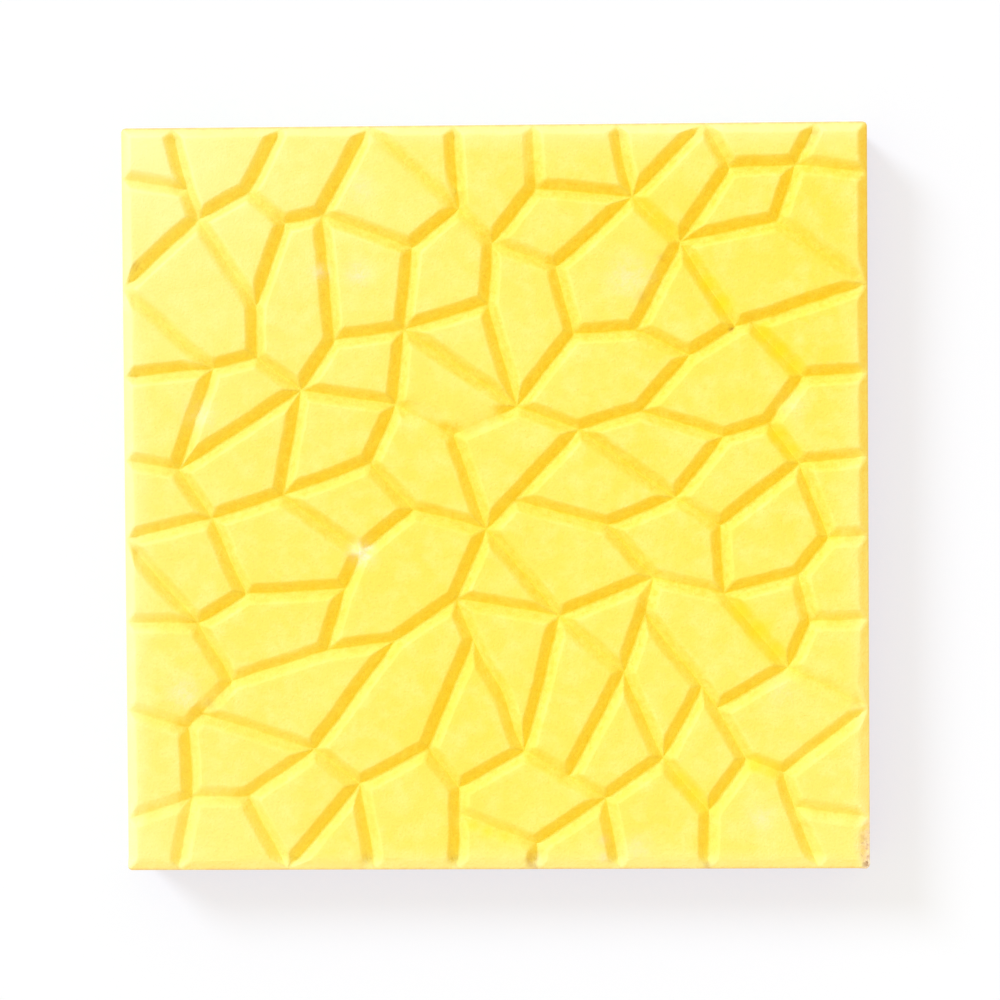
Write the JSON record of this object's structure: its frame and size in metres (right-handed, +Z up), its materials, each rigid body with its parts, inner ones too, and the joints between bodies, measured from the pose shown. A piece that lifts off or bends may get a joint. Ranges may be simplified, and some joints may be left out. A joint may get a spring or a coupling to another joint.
{
  "type": "concrete paving tile",
  "caption": "Square cast concrete paving tile whose grooved face looks like crazy paving, laid flat on a bed of sand or mortar beside tiles of its size.",
  "frame": {"origin": "centre of the flat back that the tile lies on", "axes": "+Z up, out of the grooved face; +X to the right and +Y up the face as it is seen in the picture"},
  "size_m": [0.3, 0.3, 0.03],
  "materials": {
    "yellow_concrete": "matt yellow-pigmented concrete, as cast"
  },
  "bodies": {
    "root": {"paving_tile": "yellow_concrete"}
  },
  "joints": []
}
